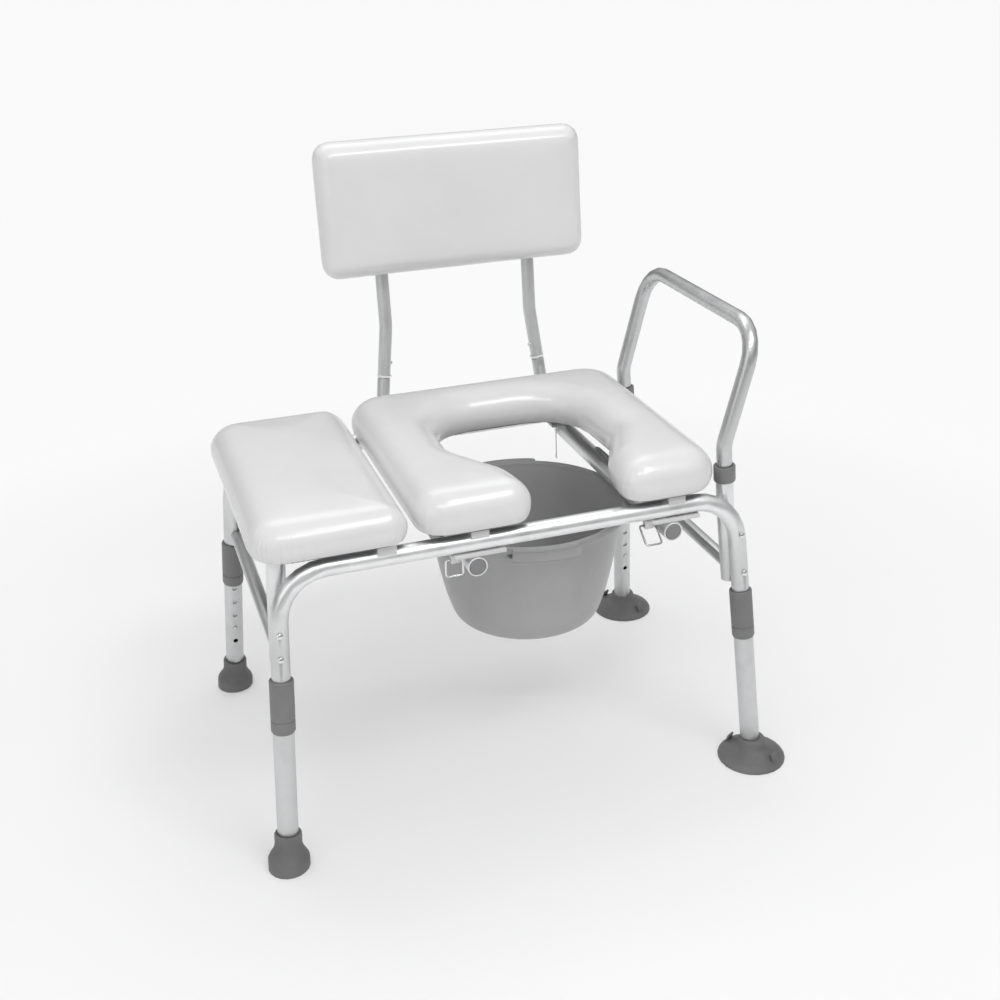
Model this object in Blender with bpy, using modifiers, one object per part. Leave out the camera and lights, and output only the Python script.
"""Commode transfer bench: aluminium tube frame, two padded seat sections, padded
backrest, one side arm, slide-in pail and four height adjustable legs.

Metres. +X to the arm side, which is the right side seen from the front, +Y to the rear,
+Z up. The origin is on the floor under the middle of the overall width.
"""
import math

import bmesh
import bpy
from mathutils import Matrix, Vector

# ---------------------------------------------------------------- shared dimensions
# Sides are -1 left and 1 right, ends are -1 front and 1 rear.
SIDE_NAME = {-1: "left", 1: "right"}
END_NAME = {-1: "front", 1: "rear"}
LEGS = [(side, end) for side in SIDE_NAME for end in END_NAME]

SHIFT_X = -0.010876        # brings the middle of the overall width onto the origin
FIT = 0.0004               # clearance round a tube or beside a part
TUBE_RES = 6               # bevel resolution of the round tubes

RAIL_Z = 0.4215            # centre height of the front and rear cross rails
RAIL_Y = 0.197             # half distance between front and rear rails
CORNER_X = 0.3252          # half distance between the virtual corners of a frame tube
SPLAY_X = 0.0699           # outward lean of every leg, per unit of drop
SPLAY_Y = 0.1055           # fore-aft lean of every leg, per unit of drop
FRAME_R = 0.0127
FRAME_WALL = 0.0012
EXT_R = 0.0143             # leg extension tube
HOLE_R = 0.0038            # height holes and the matching hole in the frame leg
BUTTON_Z = 0.1226          # the height hole that holds the snap button

SIDE_BACK = 0.0260         # side tube axis from the leg axis, towards the middle in Y
SIDE_IN = 0.0030           # and towards the middle in X
SIDE_BEND_Z = 0.398        # above this a side tube no longer leans in Y

BOARD_Z0, BOARD_Z1 = 0.4433, 0.4543
PAIL_RIM_Z = 0.368
PAILRAIL_X = {-1: -0.0615, 1: 0.2245}
PAILRAIL_Z = 0.3896
PAILRAIL_R = 0.0140

# ---------------------------------------------------------------- scene and materials
for old in list(bpy.data.objects):
    bpy.data.objects.remove(old, do_unlink=True)
PARTS = bpy.data.collections.new("commode_transfer_bench")
bpy.context.scene.collection.children.link(PARTS)

# base colour, roughness, metallic
MATERIALS = {
    "anodised_tube": ((0.72, 0.73, 0.74), 0.32, 0.9),
    "arm_tube": ((0.70, 0.71, 0.72), 0.34, 0.9),
    "leg_tube": ((0.78, 0.79, 0.80), 0.36, 0.9),
    "steel": ((0.80, 0.80, 0.81), 0.22, 1.0),
    "grey_rubber": ((0.10, 0.10, 0.105), 0.65, 0.0),
    "grey_plastic": ((0.16, 0.16, 0.165), 0.45, 0.0),
    "light_plastic": ((0.55, 0.55, 0.55), 0.5, 0.0),
    "pail_plastic": ((0.33, 0.33, 0.335), 0.38, 0.0),
    "vinyl": ((0.72, 0.72, 0.72), 0.42, 0.0),
    "board": ((0.07, 0.07, 0.07), 0.6, 0.0),
}
SHARP_ANGLE = math.radians(35)


def material(kind, name):
    colour, roughness, metallic = MATERIALS[kind]
    mat = bpy.data.materials.new(name + "_" + kind)
    mat.use_nodes = True
    inputs = mat.node_tree.nodes["Principled BSDF"].inputs
    inputs["Base Color"].default_value = (*colour, 1.0)
    inputs["Roughness"].default_value = roughness
    inputs["Metallic"].default_value = metallic
    return mat


def finish(obj, name, kind):
    """Name the part, give it its own material and shade it."""
    obj.name = name
    obj.data.name = name
    obj.data.materials.clear()
    obj.data.materials.append(material(kind, name))
    obj.data.shade_smooth()
    obj.data.set_sharp_from_angle(angle=SHARP_ANGLE)


# ---------------------------------------------------------------- shape helpers
def new_object(name, data):
    obj = bpy.data.objects.new(name, data)
    PARTS.objects.link(obj)
    return obj


def to_mesh(obj):
    """Replace an object by its evaluated shape, as a plain welded mesh object."""
    bpy.context.view_layer.update()
    depsgraph = bpy.context.evaluated_depsgraph_get()
    mesh = bpy.data.meshes.new_from_object(obj.evaluated_get(depsgraph))
    bm = bmesh.new()
    bm.from_mesh(mesh)
    bmesh.ops.remove_doubles(bm, verts=bm.verts, dist=1e-6)
    bm.to_mesh(mesh)
    bm.free()
    solid = new_object(obj.name + "_mesh", mesh)
    solid.matrix_world = obj.matrix_world.copy()
    bpy.data.objects.remove(obj, do_unlink=True)
    return solid


def fillet_path(points, radii, seg):
    """Points of a polyline whose inner corners are rounded to the given radii."""
    points = [Vector(point) for point in points]
    path = [points[0]]
    for before, corner, after, radius in zip(points, points[1:], points[2:], radii):
        back = (before - corner).normalized()
        ahead = (after - corner).normalized()
        half = back.angle(ahead) / 2
        trim = radius / math.tan(half)
        centre = corner + (back + ahead).normalized() * (radius / math.sin(half))
        start = corner + back * trim - centre
        stop = corner + ahead * trim - centre
        sweep = start.angle(stop)
        axis = start.cross(stop).normalized()
        for k in range(seg + 1):
            path.append(centre + Matrix.Rotation(sweep * k / seg, 3, axis) @ start)
    path.append(points[-1])
    return path


def rounded_outline(corners, radii, seg):
    """Closed outline through 2D corners, each rounded to its radius."""
    corners = [Vector(corner) for corner in corners]
    outline = []
    for i, (corner, radius) in enumerate(zip(corners, radii)):
        back = (corners[i - 1] - corner).normalized()
        ahead = (corners[(i + 1) % len(corners)] - corner).normalized()
        half = back.angle(ahead) / 2
        trim = radius / math.tan(half)
        centre = corner + (back + ahead).normalized() * (radius / math.sin(half))
        start = corner + back * trim - centre
        stop = corner + ahead * trim - centre
        first = math.atan2(start.y, start.x)
        last = math.atan2(stop.y, stop.x)
        sweep = (last - first + math.pi) % (2 * math.pi) - math.pi
        for k in range(seg + 1):
            angle = first + sweep * k / seg
            outline.append(centre + Vector((math.cos(angle), math.sin(angle))) * radius)
    return outline


def poly_spline(curve, points, cyclic):
    spline = curve.splines.new("POLY")
    spline.points.add(len(points) - 1)
    for target, point in zip(spline.points, points):
        target.co = (*point, 1.0)
    spline.use_cyclic_u = cyclic


def swept_curve(points, radius, res, cyclic, caps):
    curve = bpy.data.curves.new("path", "CURVE")
    curve.dimensions = "3D"
    curve.bevel_depth = radius
    curve.bevel_resolution = res
    curve.use_fill_caps = caps
    curve.twist_mode = "MINIMUM"
    poly_spline(curve, points, cyclic)
    return new_object("path", curve)


def rod(points, radius, res, cyclic=False):
    """A solid round bar along a path."""
    return to_mesh(swept_curve(points, radius, res, cyclic, caps=not cyclic))


def tube(points, radius, wall, res=TUBE_RES):
    """A hollow tube along a path, its ends open."""
    obj = swept_curve(points, radius, res, cyclic=False, caps=False)
    shell = obj.modifiers.new("wall", "SOLIDIFY")
    shell.thickness = wall
    shell.offset = -1.0
    shell.use_even_offset = False
    return to_mesh(obj)


def cut(obj, tools, operation="DIFFERENCE"):
    """Apply one Boolean per tool in turn, then remove the tools."""
    for k, tool in enumerate(tools):
        boolean = obj.modifiers.new("cut%d" % k, "BOOLEAN")
        boolean.operation = operation
        boolean.object = tool
        boolean.solver = "EXACT"
    solid = to_mesh(obj)
    for tool in tools:
        bpy.data.objects.remove(tool, do_unlink=True)
    return solid


def cylinder(start, stop, radius, sides):
    """A closed cylinder between two points."""
    start, stop = Vector(start), Vector(stop)
    axis = stop - start
    bm = bmesh.new()
    bmesh.ops.create_cone(bm, cap_ends=True, segments=sides, radius1=radius,
                          radius2=radius, depth=axis.length)
    mesh = bpy.data.meshes.new("cylinder")
    bm.to_mesh(mesh)
    bm.free()
    mesh.transform(axis.to_track_quat("Z", "Y").to_matrix().to_4x4())
    obj = new_object("cylinder", mesh)
    obj.location = (start + stop) / 2
    return obj


def box(x_span, y_span, z_span):
    """A box over three spans, each given either way round."""
    spans = (x_span, y_span, z_span)
    bm = bmesh.new()
    bmesh.ops.create_cube(bm, size=1.0)
    bmesh.ops.scale(bm, vec=[abs(stop - start) for start, stop in spans], verts=bm.verts)
    mesh = bpy.data.meshes.new("box")
    bm.to_mesh(mesh)
    bm.free()
    obj = new_object("box", mesh)
    obj.location = [(start + stop) / 2 for start, stop in spans]
    return obj


def turned(profile, steps, matrix, closed=False):
    """Revolve a profile of (radius, z) about the matrix's Z; closed joins its two ends."""
    points = list(profile)
    if closed:
        points.append(points[0])
    mesh = bpy.data.meshes.new("profile")
    mesh.from_pydata([(radius, 0.0, z) for radius, z in points],
                     [(i, i + 1) for i in range(len(points) - 1)], [])
    obj = new_object("profile", mesh)
    screw = obj.modifiers.new("turn", "SCREW")
    screw.axis = "Z"
    screw.steps = steps
    screw.render_steps = steps
    screw.use_merge_vertices = True
    screw.merge_threshold = 0.00001
    obj.matrix_world = matrix
    return to_mesh(obj)


def outline_plate(outline, z0, z1):
    """A flat plate with the given outline, made as a filled 2D curve."""
    curve = bpy.data.curves.new("outline", "CURVE")
    curve.dimensions = "2D"
    curve.fill_mode = "BOTH"
    curve.extrude = (z1 - z0) / 2
    poly_spline(curve, [(x, y, 0.0) for x, y in outline], cyclic=True)
    obj = new_object("outline", curve)
    obj.location = (0, 0, (z0 + z1) / 2)
    return to_mesh(obj)


def soften(obj, width):
    """Bevel the rim edges of a pad."""
    bevel = obj.modifiers.new("edge", "BEVEL")
    bevel.width = width
    bevel.segments = 2
    bevel.limit_method = "ANGLE"
    bevel.angle_limit = math.radians(60)
    return to_mesh(obj)


def axis_frame(origin, direction):
    """Matrix whose Z axis is the direction and whose origin is the given point."""
    matrix = Vector(direction).to_track_quat("Z", "Y").to_matrix().to_4x4()
    matrix.translation = Vector(origin)
    return matrix


def place(obj, matrix):
    """Bake the object's location into its mesh, then set its matrix."""
    obj.data.transform(Matrix.Translation(obj.location))
    obj.matrix_world = matrix


def set_origin(obj, point):
    """Move an object's origin without moving its shape."""
    origin = Vector(point)
    local = obj.matrix_world.inverted() @ origin
    obj.data.transform(Matrix.Translation(local).inverted())
    obj.matrix_world = Matrix.Translation(origin) @ obj.matrix_world.to_3x3().to_4x4()


def square_to(axis, vector):
    """Unit vector along the part of a vector that is square to a unit axis."""
    return (vector - axis * vector.dot(axis)).normalized()


# ---------------------------------------------------------------- leg axes
def leg_down(side, end):
    return Vector((side * SPLAY_X, end * SPLAY_Y, -1.0)).normalized()


def leg_point(side, end, z):
    drop = RAIL_Z - z
    return Vector((side * (CORNER_X + SPLAY_X * drop), end * (RAIL_Y + SPLAY_Y * drop), z))


def side_point(side, end, z):
    """Axis of the tube that runs up beside a leg, on its inner side, below the bend."""
    return leg_point(side, end, z) - Vector((side * SIDE_IN, end * SIDE_BACK, 0.0))


def upper_side_point(side, end, z):
    """The same axis above the bend, where it leans in X only."""
    knee = side_point(side, end, SIDE_BEND_Z)
    return Vector((knee.x - side * SPLAY_X * (z - SIDE_BEND_Z), knee.y, z))


def button_axis(side, end):
    """Direction of a snap button: square to the leg, towards the middle in Y."""
    return square_to(leg_down(side, end), Vector((0.0, -end, 0.0)))


def leg_name(side, end):
    return "%s_%s" % (END_NAME[end], SIDE_NAME[side])


# ---------------------------------------------------------------- rivets
RIVET_Z = {-1: (0.343, 0.310), 1: (0.365, 0.307)}   # upper, lower
RIVET_HOLE_R = 0.0028
RIVET_HEAD_R, RIVET_SHANK_R = 0.0048, 0.0022
RIVET_LIFT = 0.0003                  # underside of the head off the tube
RIVET_DEPTH = 2 * FRAME_R + 0.0042   # underside of the head to the set head
LEG_DRILL = (-0.017, 0.020)          # span of a hole's drill from the leg axis, outward
SIDE_DRILL = (-0.0255, -0.008)


def rivet_axis(side, end, z):
    """Centre of the leg tube and the rivet's direction, pointing out of the bench."""
    leg = leg_point(side, end, z)
    return leg, square_to(leg_down(side, end), leg - side_point(side, end, z))


def rivet_drills(side, end, span):
    drills = []
    for z in RIVET_Z[side]:
        leg, outward = rivet_axis(side, end, z)
        drills.append(cylinder(leg + outward * span[0], leg + outward * span[1],
                               RIVET_HOLE_R, 8))
    return drills


def make_rivet(side, end, z, tag):
    """Domed head outside the leg, shank through both tubes, set head in the side tube."""
    leg, outward = rivet_axis(side, end, z)
    depth = RIVET_DEPTH
    profile = [(0.0, 0.0030), (0.0026, 0.0026), (0.0042, 0.0014), (RIVET_HEAD_R, 0.0),
               (RIVET_SHANK_R, 0.0), (RIVET_SHANK_R, -depth), (0.0036, -depth),
               (0.0030, -depth - 0.0022), (0.0, -depth - 0.0026)]
    seat = axis_frame(leg + outward * (FRAME_R + RIVET_LIFT), outward)
    finish(turned(profile, 8, seat), "rivet_%s_%s" % (leg_name(side, end), tag), "steel")


for side, end in LEGS:
    for z, tag in zip(RIVET_Z[side], ("upper", "lower")):
        make_rivet(side, end, z, tag)

# ---------------------------------------------------------------- frame tubes
CORNER_BEND = 0.068        # centreline bend radius of the frame corners
LEG_END_Z = 0.110          # where the frame leg ends inside the extension
BUTTON_DRILL = (0.004, 0.020)    # span of the drill from the leg axis


def frame_path(end):
    return fillet_path([leg_point(-1, end, LEG_END_Z), (-CORNER_X, end * RAIL_Y, RAIL_Z),
                        (CORNER_X, end * RAIL_Y, RAIL_Z), leg_point(1, end, LEG_END_Z)],
                       [CORNER_BEND, CORNER_BEND], seg=6)


def make_frame_tube(end):
    """Cross rail and its two legs in one bent tube."""
    drills = []
    for side in SIDE_NAME:
        drills += rivet_drills(side, end, LEG_DRILL)
        axis = button_axis(side, end)
        centre = leg_point(side, end, BUTTON_Z)
        drills.append(cylinder(centre + axis * BUTTON_DRILL[0],
                               centre + axis * BUTTON_DRILL[1], HOLE_R, 8))
    obj = cut(tube(frame_path(end), FRAME_R, FRAME_WALL), drills)
    finish(obj, "%s_frame_tube" % END_NAME[end], "anodised_tube")


for end in END_NAME:
    make_frame_tube(end)

# ---------------------------------------------------------------- side tubes and stretchers
# the left tubes stop just under the seat board, the right ones receive the arm
SIDE_TUBE_NAME = {-1: "left_%s_side_tube", 1: "arm_receiver_%s"}
SIDE_END_Z = {-1: 0.290, 1: 0.283}
SIDE_TOP_Z = {-1: BOARD_Z0 - 0.0022, 1: 0.452}
SIDE_BEND_R = 0.12
STRETCH_R = 0.0100
STRETCH_Z = 0.306
STRETCH_TRIM = 0.004       # bar end short of the side tube axis
COPE_Z = (0.27, 0.345)     # height span of the coping cutter
COPE_GAP = 0.0005


def make_side_tube(side, end):
    path = fillet_path([side_point(side, end, SIDE_END_Z[side]),
                        side_point(side, end, SIDE_BEND_Z),
                        upper_side_point(side, end, SIDE_TOP_Z[side])], [SIDE_BEND_R], seg=3)
    obj = cut(tube(path, FRAME_R, FRAME_WALL), rivet_drills(side, end, SIDE_DRILL))
    finish(obj, SIDE_TUBE_NAME[side] % END_NAME[end], "anodised_tube")


def make_stretcher(side):
    """Bar between the two side tubes, its ends coped round them."""
    trim = Vector((0, STRETCH_TRIM, 0))
    bar = rod([side_point(side, -1, STRETCH_Z) + trim,
               side_point(side, 1, STRETCH_Z) - trim], STRETCH_R, 7)
    copes = [cylinder(side_point(side, end, COPE_Z[0]), side_point(side, end, COPE_Z[1]),
                      FRAME_R + COPE_GAP, 24) for end in END_NAME]
    finish(cut(bar, copes), "%s_side_stretcher" % SIDE_NAME[side], "anodised_tube")


for side, end in LEGS:
    make_side_tube(side, end)
for side in SIDE_NAME:
    make_stretcher(side)

# ---------------------------------------------------------------- adjustable legs
EXT_WALL = 0.0012
EXT_TOP_Z, EXT_END_Z = 0.270, 0.011
HOLE_PITCH = 0.0254
HOLE_STEPS = range(-1, 4)        # hole places in pitches above the button
EXT_DRILL = (0.006, 0.020)       # span of the drill from the leg axis
COLLAR_R = 0.0164
COLLAR_TOP_Z, COLLAR_END_Z = 0.278, 0.203
COLLAR_GROOVE_UP = 0.0185        # groove above the collar's lower end
COLLAR_GROOVE_DEPTH = 0.0009
LEAF_OUT = 0.0094                # middle of the button's leaf from the leg axis
LEAF_X, LEAF_Y, LEAF_Z = (-0.0032, 0.0032), (-0.0004, 0.0004), (-0.003, 0.030)
FLOOR_CUT = 0.09                 # half width of the block that trims a foot at the floor
FLOOR_CUT_DEPTH = 0.08
SOCKET_Z = (0.0103, 0.06)        # bore of a suction foot
EAR_ANGLES = (118, 298)          # degrees from +X
EAR_OUT, EAR_Z = 0.043, 0.0065   # foot of an ear from the cup's centre
EAR_LEAN = -20                   # degrees
EAR_X, EAR_Y, EAR_HEIGHT = (-0.006, 0.006), (-0.0015, 0.0015), (0.0, 0.016)

# radius, height above the floor
SUCTION_CUP = [(0.0, 0.034), (0.0175, 0.034), (0.0195, 0.031), (0.0205, 0.024),
               (0.0260, 0.0185), (0.0400, 0.0110), (0.0480, 0.0060), (0.0503, 0.0028),
               (0.0505, 0.0), (0.0455, 0.0), (0.0300, 0.0055), (0.0, 0.0075)]
# radius, distance down the leg from its floor point
TIP_BORE = EXT_R + FIT
FOOT_TIP = [(TIP_BORE, -0.052), (0.0180, -0.052), (0.0188, -0.050), (0.0188, -0.036),
            (0.0196, -0.031), (0.0230, -0.024), (0.0275, -0.017), (0.0287, -0.013),
            (0.0287, -0.004), (0.0287, 0.012), (0.0, 0.012), (0.0, -0.0105),
            (TIP_BORE, -0.0105)]


def make_extension(side, end):
    """Outer leg tube with its row of height holes."""
    down, axis = leg_down(side, end), button_axis(side, end)
    base = leg_point(side, end, BUTTON_Z)
    drills = []
    for k in HOLE_STEPS:
        centre = base - down * HOLE_PITCH * k
        drills.append(cylinder(centre + axis * EXT_DRILL[0], centre + axis * EXT_DRILL[1],
                               HOLE_R, 8))
    obj = tube([leg_point(side, end, EXT_TOP_Z), leg_point(side, end, EXT_END_Z)],
               EXT_R, EXT_WALL)
    finish(cut(obj, drills), "leg_extension_%s" % leg_name(side, end), "leg_tube")


def make_leg_collar(side, end):
    """Collar on the top of the extension, closing down onto the frame leg."""
    top = leg_point(side, end, COLLAR_TOP_Z)
    length = (leg_point(side, end, COLLAR_END_Z) - top).length
    bore, lip = EXT_R + FIT, FRAME_R + FIT
    groove = length - COLLAR_GROOVE_UP
    groove_r = COLLAR_R - COLLAR_GROOVE_DEPTH
    profile = [(lip, 0.0), (COLLAR_R - 0.0012, 0.0), (COLLAR_R, 0.0014),
               (COLLAR_R, groove - 0.0006), (groove_r, groove), (groove_r, groove + 0.0012),
               (COLLAR_R, groove + 0.0018), (COLLAR_R, length - 0.003),
               (COLLAR_R - 0.0012, length), (bore, length), (bore, 0.0072), (lip, 0.0068)]
    obj = turned(reversed(profile), 18, axis_frame(top, leg_down(side, end)), closed=True)
    finish(obj, "leg_collar_%s" % leg_name(side, end), "grey_plastic")


def make_leg_button(side, end):
    """Snap button on its leaf inside the frame leg, the dome through both tubes."""
    down, axis = leg_down(side, end), button_axis(side, end)
    centre = leg_point(side, end, BUTTON_Z)
    radius = HOLE_R - FIT
    profile = [(0.0, EXT_R + 0.0030), (radius * 0.55, EXT_R + 0.0026),
               (radius * 0.88, EXT_R + 0.0014), (radius, EXT_R + 0.0001), (radius, 0.0100),
               (0.0042, 0.0100), (0.0042, 0.0090), (0.0, 0.0090)]
    button = turned(profile, 12, axis_frame(centre, axis))
    leaf = box(LEAF_X, LEAF_Y, LEAF_Z)
    # leaf Y along the button, leaf Z up the leg
    turn = Matrix((down.cross(axis).normalized(), axis, -down)).transposed().to_4x4()
    place(leaf, Matrix.Translation(centre + axis * LEAF_OUT) @ turn)
    finish(cut(button, [leaf], "UNION"), "leg_button_%s" % leg_name(side, end), "steel")


def make_foot_tip(side, end):
    """Rubber tip in line with the leg, cut flat at the floor."""
    foot = leg_point(side, end, 0.0)
    tip = turned(reversed(FOOT_TIP), 20, axis_frame(foot, leg_down(side, end)), closed=True)
    floor = box((foot.x - FLOOR_CUT, foot.x + FLOOR_CUT),
                (foot.y - FLOOR_CUT, foot.y + FLOOR_CUT), (-FLOOR_CUT_DEPTH, 0.0))
    finish(cut(tip, [floor]), "foot_tip_%s" % leg_name(side, end), "grey_rubber")


def make_suction_foot(side, end):
    """Upright suction cup with two ears, bored for the leaning extension."""
    foot = leg_point(side, end, 0.0)
    cup = turned(SUCTION_CUP, 24, Matrix.Translation(foot))
    bore = cylinder(leg_point(side, end, SOCKET_Z[0]), leg_point(side, end, SOCKET_Z[1]),
                    EXT_R + FIT, 20)
    ears = []
    for degrees in EAR_ANGLES:
        angle = math.radians(degrees)
        offset = Vector((EAR_OUT * math.cos(angle), EAR_OUT * math.sin(angle), EAR_Z))
        ear = box(EAR_X, EAR_Y, EAR_HEIGHT)
        place(ear, Matrix.Translation(foot + offset)
              @ Matrix.Rotation(angle + math.radians(90), 4, "Z")
              @ Matrix.Rotation(math.radians(EAR_LEAN), 4, "X"))
        ears.append(ear)
    cup = cut(cup, ears, "UNION")
    finish(cut(cup, [bore]), "suction_foot_%s" % leg_name(side, end), "grey_rubber")


for side, end in LEGS:
    make_extension(side, end)
    make_leg_collar(side, end)
    make_leg_button(side, end)
    if side < 0:
        make_foot_tip(side, end)
    else:
        make_suction_foot(side, end)

# ---------------------------------------------------------------- arm rail on the right side
ARM_R = 0.0111
ARM_WALL = 0.0012
ARM_FOOT_Z, ARM_KNEE_Z = 0.410, 0.492
ARM_TOP_X, ARM_TOP_Z = 0.360, 0.655
ARM_KNEE_BEND, ARM_TOP_BEND = 0.045, 0.052
ARM_COLLAR_Z = (0.461, 0.437)    # top, bottom


def make_arm_rail():
    """Hoop that rises from the front receiver and comes down into the rear one."""
    front_foot, rear_foot = (upper_side_point(1, end, ARM_FOOT_Z) for end in END_NAME)
    front_knee, rear_knee = (upper_side_point(1, end, ARM_KNEE_Z) for end in END_NAME)
    path = fillet_path([front_foot, front_knee, (ARM_TOP_X, front_knee.y, ARM_TOP_Z),
                        (ARM_TOP_X, rear_knee.y, ARM_TOP_Z), rear_knee, rear_foot],
                       [ARM_KNEE_BEND, ARM_TOP_BEND, ARM_TOP_BEND, ARM_KNEE_BEND], seg=5)
    arm = tube(path, ARM_R, ARM_WALL)
    set_origin(arm, front_foot)
    finish(arm, "arm_rail", "arm_tube")


def make_arm_collar(end):
    """Collar over the mouth of a receiver, closing down onto the arm tube."""
    top, bottom = (upper_side_point(1, end, z) for z in ARM_COLLAR_Z)
    length = (bottom - top).length
    lip, bore = ARM_R + FIT, FRAME_R + FIT
    profile = [(lip, 0.0), (0.0146, 0.0), (0.0156, 0.0012), (0.0156, length - 0.0012),
               (0.0150, length), (bore, length), (bore, 0.0084), (lip, 0.0080)]
    obj = turned(reversed(profile), 24, axis_frame(top, bottom - top), closed=True)
    finish(obj, "arm_collar_%s" % END_NAME[end], "grey_plastic")


make_arm_rail()
for end in END_NAME:
    make_arm_collar(end)

# ---------------------------------------------------------------- pail rails
PAILRAIL_WALL = 0.0020
PAILRAIL_HALF = 0.211            # half length
CAP_OUT = 0.0002                 # cap's datum in front of the rail end
# radius, distance in front of the datum
RAIL_CAP = [(0.0, 0.0010), (0.0100, 0.0008), (0.0114, 0.0), (0.0116, -0.0012),
            (0.0116, -0.012), (0.0, -0.012)]


def make_pail_rail(side):
    """Fore-aft tube under the seat, with a cap in its front end only."""
    x = PAILRAIL_X[side]
    rail = tube([(x, -PAILRAIL_HALF, PAILRAIL_Z), (x, PAILRAIL_HALF, PAILRAIL_Z)],
                PAILRAIL_R, PAILRAIL_WALL, res=8)
    finish(rail, "pail_rail_%s" % SIDE_NAME[side], "anodised_tube")
    cap = turned(RAIL_CAP, 20,
                 axis_frame((x, -PAILRAIL_HALF - CAP_OUT, PAILRAIL_Z), (0, -1, 0)))
    finish(cap, "pail_rail_cap_%s" % SIDE_NAME[side], "grey_plastic")


# ---------------------------------------------------------------- clamps and wire bails
CLAMP_DX = 0.0060                # the clamps sit a little to the right of the pail rails
CLAMP_HALF, PLATE_HALF = 0.0125, 0.0355    # half widths of the block and its lower plate
CLAMP_OUT, PLATE_OUT = 0.0105, 0.0120      # reach outward from the rail axis
CLAMP_IN = FRAME_R + 0.0044                # reach inward
PLATE_IN = CLAMP_IN + 0.0010
CLAMP_FOOT_GAP = 0.0012          # block above the pail rail
MOUTH_HALF, MOUTH_OUT = 0.05, 0.03         # cutter that opens the clamp's outer side
MOUTH_Z = (RAIL_Z - FRAME_R - 0.00035, RAIL_Z + 0.0085)

BAIL_DX = {-1: -0.0285, 1: -0.0335}        # bail pivot from the pail rail axis
BAIL_LENGTH = {-1: 0.025, 1: 0.031}
BAIL_SWING = {-1: 0.0, 1: 52.0}            # degrees forward from hanging
BAIL_Z = 0.4000
BAIL_HALF = 0.012                # half width
WIRE_R = 0.0014
PIVOT_BEND, LOOP_BEND = 0.003, 0.004
BARREL_X = (-0.0050, 0.0070)     # barrel span from the pivot
BARREL_HALF_Y = 0.0045
BARREL_Z = (BAIL_Z - 0.0042, 0.4075)
PIVOT_HOLE_R, PIVOT_DRILL = 0.0021, 0.020  # radius and half length


def make_clamp(side, end):
    """Block between frame rail and pail rail; the front ones hold a wire bail's barrel."""
    x = PAILRAIL_X[side] + CLAMP_DX
    y = end * RAIL_Y
    block = box((x - CLAMP_HALF, x + CLAMP_HALF), (y + end * CLAMP_OUT, y - end * CLAMP_IN),
                (PAILRAIL_Z + PAILRAIL_R + CLAMP_FOOT_GAP, BOARD_Z0 - FIT))
    plate = box((x - PLATE_HALF, x + PLATE_HALF), (y + end * PLATE_OUT, y - end * PLATE_IN),
                (PAILRAIL_Z + PAILRAIL_R + FIT, RAIL_Z - FRAME_R - FIT))
    clamp = cut(block, [plate], "UNION")
    tools = [rod(frame_path(end), FRAME_R + FIT, 8),
             box((x - MOUTH_HALF, x + MOUTH_HALF), (y, y + end * MOUTH_OUT), MOUTH_Z)]
    if end < 0:
        # barrel under the left end of the lower plate
        pivot_x = PAILRAIL_X[side] + BAIL_DX[side]
        barrel = box((pivot_x + BARREL_X[0], pivot_x + BARREL_X[1]),
                     (y - BARREL_HALF_Y, y + BARREL_HALF_Y), BARREL_Z)
        clamp = cut(clamp, [barrel], "UNION")
        tools.append(cylinder((pivot_x - PIVOT_DRILL, y, BAIL_Z),
                              (pivot_x + PIVOT_DRILL, y, BAIL_Z), PIVOT_HOLE_R, 12))
    finish(cut(clamp, tools), "rail_clamp_%s_%s" % (END_NAME[end], SIDE_NAME[side]),
           "light_plastic")


def make_wire_bail(side):
    """Closed wire loop hanging from the barrel of a front clamp."""
    pivot = Vector((PAILRAIL_X[side] + BAIL_DX[side], -RAIL_Y, BAIL_Z))
    swing = math.radians(BAIL_SWING[side])
    drop = Vector((0, -math.sin(swing), -math.cos(swing))) * BAIL_LENGTH[side]
    half = Vector((BAIL_HALF, 0, 0))
    path = fillet_path([pivot, pivot - half, pivot - half + drop, pivot + half + drop,
                        pivot + half, pivot],
                       [PIVOT_BEND, LOOP_BEND, LOOP_BEND, PIVOT_BEND], seg=3)
    bail = rod(path[:-1], WIRE_R, 2, cyclic=True)
    set_origin(bail, pivot)
    finish(bail, "wire_bail_%s" % SIDE_NAME[side], "steel")


for side in SIDE_NAME:
    make_pail_rail(side)
    for end in END_NAME:
        make_clamp(side, end)
    make_wire_bail(side)

# ---------------------------------------------------------------- seat boards and pads
PAD_Z0, PAD_Z1 = 0.4546, 0.4970
PAD_EDGE = 0.012
BOARD_INSET = 0.006              # board edge inside the pad edge
SEAT_X = (-0.141, 0.297)
SEAT_Y = (-0.220, 0.207)
TRANSFER_X = (-0.357, -0.150)
TRANSFER_Y = (-0.220, 0.194)
OPENING_X = 0.0790               # middle of the horseshoe opening

# x, y, X and Y direction in which an inset moves the corner, corner radius
SEAT_CORNERS = [
    (SEAT_X[0], SEAT_Y[0], 1, 1, 0.045),
    # round the bay, open to the front
    (OPENING_X - 0.050, SEAT_Y[0], -1, 1, 0.034),
    (OPENING_X - 0.064, -0.135, -1, 0, 0.070),
    (OPENING_X - 0.121, -0.045, -1, 0, 0.080),
    (OPENING_X - 0.116, 0.114, -1, 1, 0.078),
    (OPENING_X + 0.116, 0.114, 1, 1, 0.078),
    (OPENING_X + 0.121, -0.045, 1, 0, 0.080),
    (OPENING_X + 0.078, -0.135, 1, 0, 0.060),
    (OPENING_X + 0.066, SEAT_Y[0], 1, 1, 0.036),
    # right side and rear
    (SEAT_X[1], SEAT_Y[0], -1, 1, 0.050),
    (SEAT_X[1], SEAT_Y[1], -1, -1, 0.058),
    (SEAT_X[0], SEAT_Y[1], 1, -1, 0.050),
]
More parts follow.
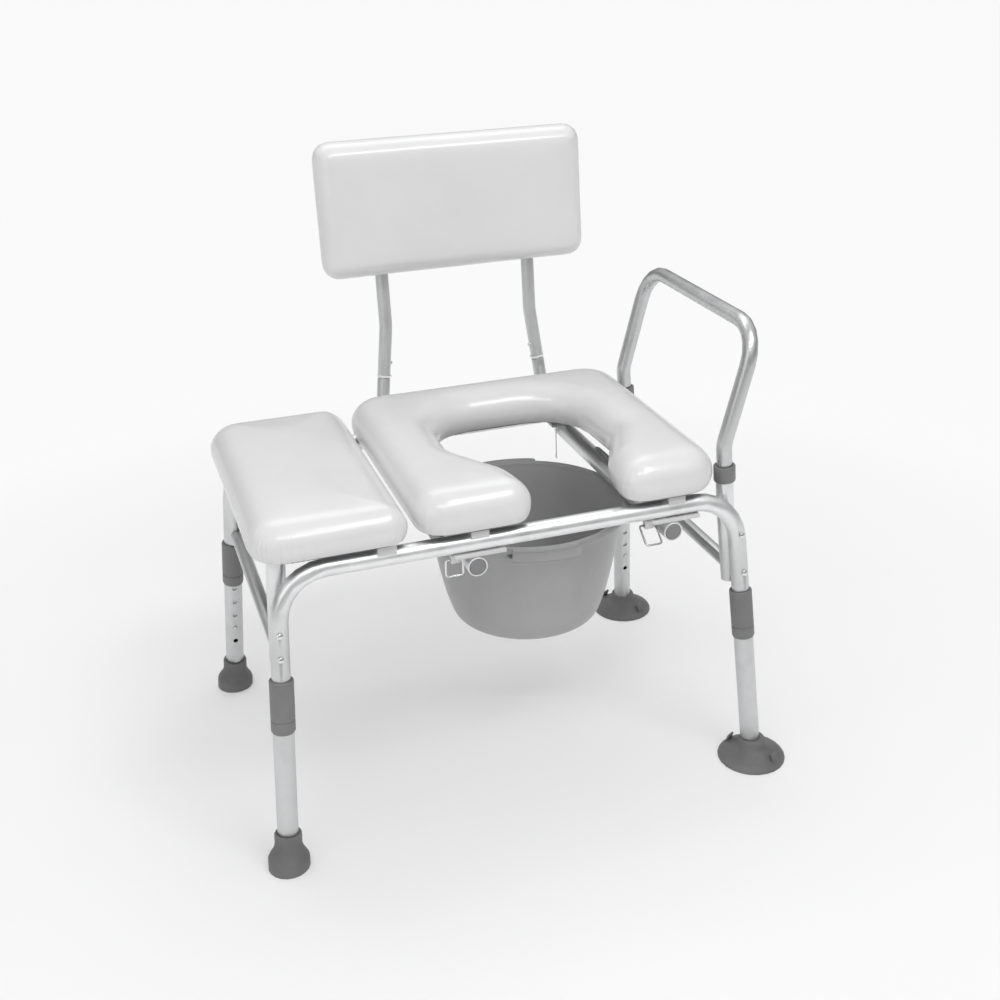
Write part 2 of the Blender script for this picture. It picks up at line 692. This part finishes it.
TRANSFER_CORNERS = [
    (TRANSFER_X[0], TRANSFER_Y[0], 1, 1, 0.045),
    (TRANSFER_X[1], TRANSFER_Y[0], -1, 1, 0.028),
    (TRANSFER_X[1], TRANSFER_Y[1], -1, -1, 0.035),
    (TRANSFER_X[0], TRANSFER_Y[1], 1, -1, 0.045),
]

SADDLE_X = (-0.195, -0.169)      # blocks under the transfer board
SADDLE_Y = {-1: (-0.208, -0.186), 1: (0.166, 0.208)}
SADDLE_Z = (RAIL_Z + 0.006, BOARD_Z0 + 0.003)
SADDLE_CUT_X = (-0.21, -0.15)
SADDLE_GAP = 0.0003


def seat_outline(corners, inset, seg):
    return rounded_outline([(x + inset * move_x, y + inset * move_y)
                            for x, y, move_x, move_y, _ in corners],
                           [corner[4] for corner in corners], seg)


def seat_board(corners):
    return outline_plate(seat_outline(corners, BOARD_INSET, 4), BOARD_Z0, BOARD_Z1)


def seat_pad(corners):
    return soften(outline_plate(seat_outline(corners, 0.0, 5), PAD_Z0, PAD_Z1), PAD_EDGE)


def make_transfer_board():
    """Board with two blocks hollowed to sit on the cross rails."""
    blocks = [box(SADDLE_X, SADDLE_Y[end], SADDLE_Z) for end in END_NAME]
    hollows = [cylinder((SADDLE_CUT_X[0], end * RAIL_Y, RAIL_Z),
                        (SADDLE_CUT_X[1], end * RAIL_Y, RAIL_Z), FRAME_R + SADDLE_GAP, 28)
               for end in END_NAME]
    board = cut(seat_board(TRANSFER_CORNERS), blocks, "UNION")
    finish(cut(board, hollows), "transfer_seat_board", "board")


finish(seat_board(SEAT_CORNERS), "commode_seat_board", "board")
make_transfer_board()
finish(seat_pad(SEAT_CORNERS), "commode_seat_pad", "vinyl")
finish(seat_pad(TRANSFER_CORNERS), "transfer_seat_pad", "vinyl")

# ---------------------------------------------------------------- pail and its guides
PAIL_CENTRE = (0.0815, 0.0020)
PAIL_RIM_R = 0.1570
PAIL_BASE_Z = 0.1885
PAIL_WALL = 0.0028
GRIP_ANGLES = (-98.5, 81.5)      # degrees; the pail sits turned a little in its guides
GRIP_HALF_ANGLE = 17.5
GRIP_SEG = 6
GRIP_OUT = 0.0065                # grip lip beyond the rim

GUIDE_GAP = 0.0003               # guide off the pail rail
GUIDE_WALL = 0.0030
WEB_X, WEB_WALL = 0.0148, 0.0032     # inner face of the web, outward of the rail axis
LEDGE_X = 0.0068                 # inner edge of the ledge, outward of the rail axis
LEDGE_DROP = (0.0099, 0.0127)    # top and underside of the ledge below the pail's rim
GUIDE_HALF = 0.075               # half length


def grip_plate(middle, inner_radius, z0, z1):
    """Arc-shaped plate from an inner radius to the grip's outer edge."""
    angles = [math.radians(middle + GRIP_HALF_ANGLE * (2 * i / GRIP_SEG - 1))
              for i in range(GRIP_SEG + 1)]
    polar = [(PAIL_RIM_R + GRIP_OUT, angle) for angle in angles]
    polar += [(inner_radius, angle) for angle in reversed(angles)]
    return outline_plate([(PAIL_CENTRE[0] + radius * math.cos(angle),
                           PAIL_CENTRE[1] + radius * math.sin(angle))
                          for radius, angle in polar], z0, z1)


def make_pail():
    rim, top, base, wall = PAIL_RIM_R, PAIL_RIM_Z, PAIL_BASE_Z, PAIL_WALL
    # radius, height
    body = [(0.1475, top - 0.012), (0.1445, top - 0.030), (0.1385, top - 0.068),
            (0.1315, top - 0.105), (0.1170, base + 0.017), (0.1120, base + 0.0065),
            (0.1030, base + 0.0008)]
    outer = [(rim - 0.0075, top - 0.0002), (rim - 0.0010, top), (rim, top - 0.0012),
             (rim, top - 0.0095), (rim - 0.0022, top - 0.0095), (rim - 0.0022, top - 0.0030),
             (0.1490, top - 0.0035)] + body + [(0.0, base)]
    inner = [(0.0, base + wall), (0.1020, base + wall + 0.0006), (0.1095, base + 0.0085)]
    inner += [(radius - wall, z) for radius, z in reversed(body[:5])]
    pail = turned(outer + inner, 32, Matrix.Translation((*PAIL_CENTRE, 0.0)), closed=True)
    # grip lips: a wider, deeper stretch of the rim at the front and at the rear
    grips = []
    for middle in GRIP_ANGLES:
        grips.append(grip_plate(middle, rim - 0.0008, top - 0.0030, top - 0.0004))
        grips.append(grip_plate(middle, rim + 0.0043, top - 0.0140, top - 0.0006))
    pail = cut(pail, grips, "UNION")
    set_origin(pail, (*PAIL_CENTRE, top))
    finish(pail, "pail", "pail_plastic")


def make_pail_guide(side):
    """Strip that hugs the outer side of a pail rail, with a ledge for the pail's rim."""
    inner_r = PAILRAIL_R + GUIDE_GAP
    outer_r = inner_r + GUIDE_WALL
    arc = [math.radians(degrees) for degrees in range(-20, 81, 20)]
    rim = PAIL_RIM_Z - PAILRAIL_Z
    ledge_top, ledge_bottom = (rim - drop for drop in LEDGE_DROP)
    # section: distance outward of and above the rail axis
    section = [(inner_r * math.cos(angle), inner_r * math.sin(angle))
               for angle in reversed(arc)]
    section += [(WEB_X, -0.0105), (WEB_X, ledge_top), (LEDGE_X, ledge_top),
                (LEDGE_X, ledge_bottom), (WEB_X + WEB_WALL, ledge_bottom),
                (WEB_X + WEB_WALL, -0.0020)]
    section += [(outer_r * math.cos(angle), outer_r * math.sin(angle)) for angle in arc[2:]]
    guide = outline_plate([(side * x, z) for x, z in section], -GUIDE_HALF, GUIDE_HALF)
    guide.data.transform(Matrix.Rotation(math.radians(90), 4, "X"))
    guide.matrix_world = Matrix.Translation((PAILRAIL_X[side], 0.0, PAILRAIL_Z))
    finish(guide, "pail_guide_%s" % SIDE_NAME[side], "grey_plastic")


make_pail()
for side in SIDE_NAME:
    make_pail_guide(side)

# ---------------------------------------------------------------- backrest posts
BACK_X = 0.0593                  # middle of the backrest frame
BACK_HALF_LOW = 0.1412           # half spacing of the stubs at BACK_Z
BACK_HALF_UP = 0.1189            # half spacing of the upright posts
BACK_Y, BACK_Z = 0.2188, 0.4128  # a point of the posts' leaning plane, behind the rear rail
BACK_RAKE = 0.10                 # rearward lean per unit of rise
BACK_KNEE_Z = 0.5913
BACK_BEND = 0.12
POST_R, POST_WALL = 0.0100, 0.0011
NECK_R, STUB_WALL = 0.0085, 0.0013
STUB_FOOT_Z, STUB_SHOULDER_Z, NECK_TOP_Z = 0.4100, 0.5088, 0.5533
POST_END_Z, POST_TOP_Z = 0.5128, 0.8430
BACK_BUTTON_Z = 0.5343
BACK_HOLE_R = 0.0034
STUB_DRILL = (0.003, 0.016)      # span of the button hole's drill from the axis
POST_DRILL = (0.004, 0.016)
NOTCH_X = (0.2, 0.08)            # ends of the rail-shaped cutter, from the middle
# radius, distance from the post axis
BACK_BUTTON = [(0.0, POST_R + 0.0028), (0.0017, POST_R + 0.0024),
               (0.0027, POST_R + 0.0012), (0.0030, POST_R + 0.0001), (0.0030, 0.0062),
               (0.0036, 0.0062), (0.0036, 0.0052), (0.0, 0.0052)]


def back_y(z):
    return BACK_Y + BACK_RAKE * (z - BACK_Z)


def stub_point(side, z):
    slope = (BACK_HALF_LOW - BACK_HALF_UP) / (BACK_KNEE_Z - BACK_Z)
    return Vector((BACK_X + side * (BACK_HALF_LOW - slope * (z - BACK_Z)), back_y(z), z))


def stub_up(side):
    return (stub_point(side, BACK_KNEE_Z) - stub_point(side, BACK_Z)).normalized()


def back_button_axis(side):
    """Button centre on the stub axis and its direction, towards the other post."""
    return (stub_point(side, BACK_BUTTON_Z),
            square_to(stub_up(side), Vector((-side, 0, 0))))


def back_drill(side, span):
    centre, inward = back_button_axis(side)
    return cylinder(centre + inward * span[0], centre + inward * span[1], BACK_HOLE_R, 12)


def make_back_stub(side):
    """Stub notched for the rear rail: full size to its shoulder, then a neck in the post."""
    foot, upward = stub_point(side, STUB_FOOT_Z), stub_up(side)
    shoulder = (STUB_SHOULDER_Z - foot.z) / upward.z
    top = (NECK_TOP_Z - foot.z) / upward.z
    bore = NECK_R - STUB_WALL
    profile = [(bore, top), (NECK_R, top), (NECK_R, shoulder + 0.0012), (POST_R, shoulder),
               (POST_R, 0.0), (bore, 0.0)]
    stub = turned(profile, 20, axis_frame(foot, upward), closed=True)
    notch = cylinder((BACK_X + side * NOTCH_X[0], RAIL_Y, RAIL_Z),
                     (BACK_X + side * NOTCH_X[1], RAIL_Y, RAIL_Z), FRAME_R + FIT, 28)
    finish(cut(stub, [notch, back_drill(side, STUB_DRILL)]),
           "back_stub_%s" % SIDE_NAME[side], "anodised_tube")


def make_back_post(side):
    """Post sleeved over the stub's neck."""
    foot = stub_point(side, POST_END_Z)
    top = (BACK_X + side * BACK_HALF_UP, back_y(POST_TOP_Z), POST_TOP_Z)
    path = fillet_path([foot, stub_point(side, BACK_KNEE_Z), top], [BACK_BEND], seg=5)
    post = cut(tube(path, POST_R, POST_WALL), [back_drill(side, POST_DRILL)])
    set_origin(post, foot)
    finish(post, "back_post_%s" % SIDE_NAME[side], "anodised_tube")


for side in SIDE_NAME:
    make_back_stub(side)
    make_back_post(side)
    finish(turned(BACK_BUTTON, 12, axis_frame(*back_button_axis(side))),
           "back_button_%s" % SIDE_NAME[side], "steel")

# ---------------------------------------------------------------- back board and pad
BACKPAD_X, BACKPAD_WIDTH = 0.0545, 0.415
BACKPAD_Z0, BACKPAD_Z1 = 0.6733, 0.8723
BACKPAD_CORNER = 0.024
BACKPAD_EDGE = 0.011
BACK_BOARD_SPAN = (POST_R + 0.0005, POST_R + 0.0100)    # in front of the post axes
BACK_PAD_SPAN = (POST_R + 0.0103, POST_R + 0.0440)


def back_plate(inset, span, edge=0.0):
    """Rounded plate parallel to the posts, over a span in front of their axes."""
    tilt = math.atan(BACK_RAKE)
    middle_z = (BACKPAD_Z0 + BACKPAD_Z1) / 2
    half_x = BACKPAD_WIDTH / 2 - inset
    half_z = (BACKPAD_Z1 - BACKPAD_Z0) / math.cos(tilt) / 2 - inset
    outline = rounded_outline([(-half_x, -half_z), (half_x, -half_z), (half_x, half_z),
                               (-half_x, half_z)], [BACKPAD_CORNER - inset] * 4, 5)
    plate = outline_plate(outline, *span)
    if edge:
        plate = soften(plate, edge)
    place(plate, Matrix.Translation((BACKPAD_X, back_y(middle_z), middle_z))
          @ Matrix.Rotation(-tilt, 4, "X") @ Matrix.Rotation(math.radians(90), 4, "X"))
    return plate


finish(back_plate(BOARD_INSET, BACK_BOARD_SPAN), "backrest_board", "board")
finish(back_plate(0.0, BACK_PAD_SPAN, BACKPAD_EDGE), "backrest_pad", "vinyl")

# the middle of the overall width goes on the origin
for part in PARTS.objects:
    part.location.x += SHIFT_X
